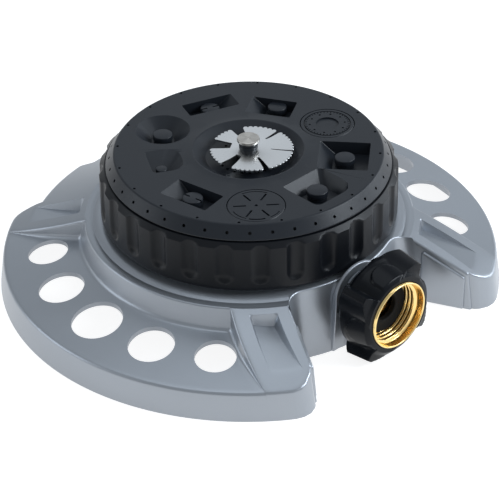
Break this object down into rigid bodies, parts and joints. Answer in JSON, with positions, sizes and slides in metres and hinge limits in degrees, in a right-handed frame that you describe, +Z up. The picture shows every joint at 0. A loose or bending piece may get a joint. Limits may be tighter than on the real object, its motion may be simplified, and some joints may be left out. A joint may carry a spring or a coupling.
{
  "type": "turret lawn sprinkler",
  "caption": "Stationary lawn sprinkler: a turning pattern dial with spray jets over a pierced cast ring base, and a swivel hose nut in a notch at the side.",
  "frame": {"origin": "middle of the underside, on the turret's axis", "axes": "+Z up along the turret's axis; the hose comes in along +Y from the -Y side; +X runs across the pierced wings"},
  "size_m": [0.22, 0.1916, 0.0686],
  "materials": {
    "cast_body": "die-cast, satin silver coat",
    "dark_plastic": "moulded, fine texture",
    "grip_plastic": "moulded, satin",
    "nut_plastic": "moulded, satin",
    "inner_plastic": "moulded",
    "stainless": "pressed sheet, bright",
    "nickel": "turned and plated",
    "brass": "machined, bright",
    "seals": "moulded rubber",
    "steel_parts": "plated steel"
  },
  "bodies": {
    "base": {"base_casting": "cast_body", "valve_body": "inner_plastic", "valve_screw_1": "steel_parts", "valve_screw_2": "steel_parts", "valve_screw_3": "steel_parts", "valve_screw_4": "steel_parts", "inlet_nipple": "brass", "inlet_o_ring": "seals", "pivot_sleeve": "inner_plastic", "sleeve_o_ring": "seals", "fan_deflector": "stainless", "post_collar": "dark_plastic", "centre_bolt": "nickel", "bolt_washer": "steel_parts", "bolt_nut": "steel_parts", "seal_spring": "steel_parts", "detent_spring": "steel_parts"},
    "dial": {"dial_cover": "dark_plastic", "grip_ring": "grip_plastic", "dial_lower_plate": "inner_plastic", "slot_jet_back": "dark_plastic", "fan_jet_back": "dark_plastic", "ring_pattern_plate": "dark_plastic", "fan_jet_right": "dark_plastic", "fan_jet_front": "dark_plastic", "spoke_pattern_plate": "dark_plastic", "slot_jet_left": "dark_plastic", "mist_jet": "dark_plastic", "cone_jet": "dark_plastic"},
    "hose_nut": {"swivel_nut": "nut_plastic", "brass_insert": "brass", "hose_washer": "seals"},
    "port_seal": {"port_seal": "seals"},
    "detent_ball": {"detent_ball": "steel_parts"}
  },
  "joints": [
    {"name": "dial_turn", "type": "hinge", "parent": "base", "child": "dial", "pos_m": [0, 0, 0.045], "axis": [0, 0, 1], "continuous": true},
    {"name": "nut_spin", "type": "hinge", "parent": "base", "child": "hose_nut", "pos_m": [0, -0.082, 0.0212], "axis": [0, -1, 0], "continuous": true},
    {"name": "port_seal_press", "type": "slide", "parent": "base", "child": "port_seal", "axis": [0, 0, 1], "range_m": [-0.0008, 0], "stiffness_N_per_m": 200, "deforming": ["seal_spring"]},
    {"name": "detent_press", "type": "slide", "parent": "base", "child": "detent_ball", "axis": [0, 0, 1], "range_m": [-0.0012, 0], "stiffness_N_per_m": 200, "deforming": ["detent_spring"]}
  ]
}
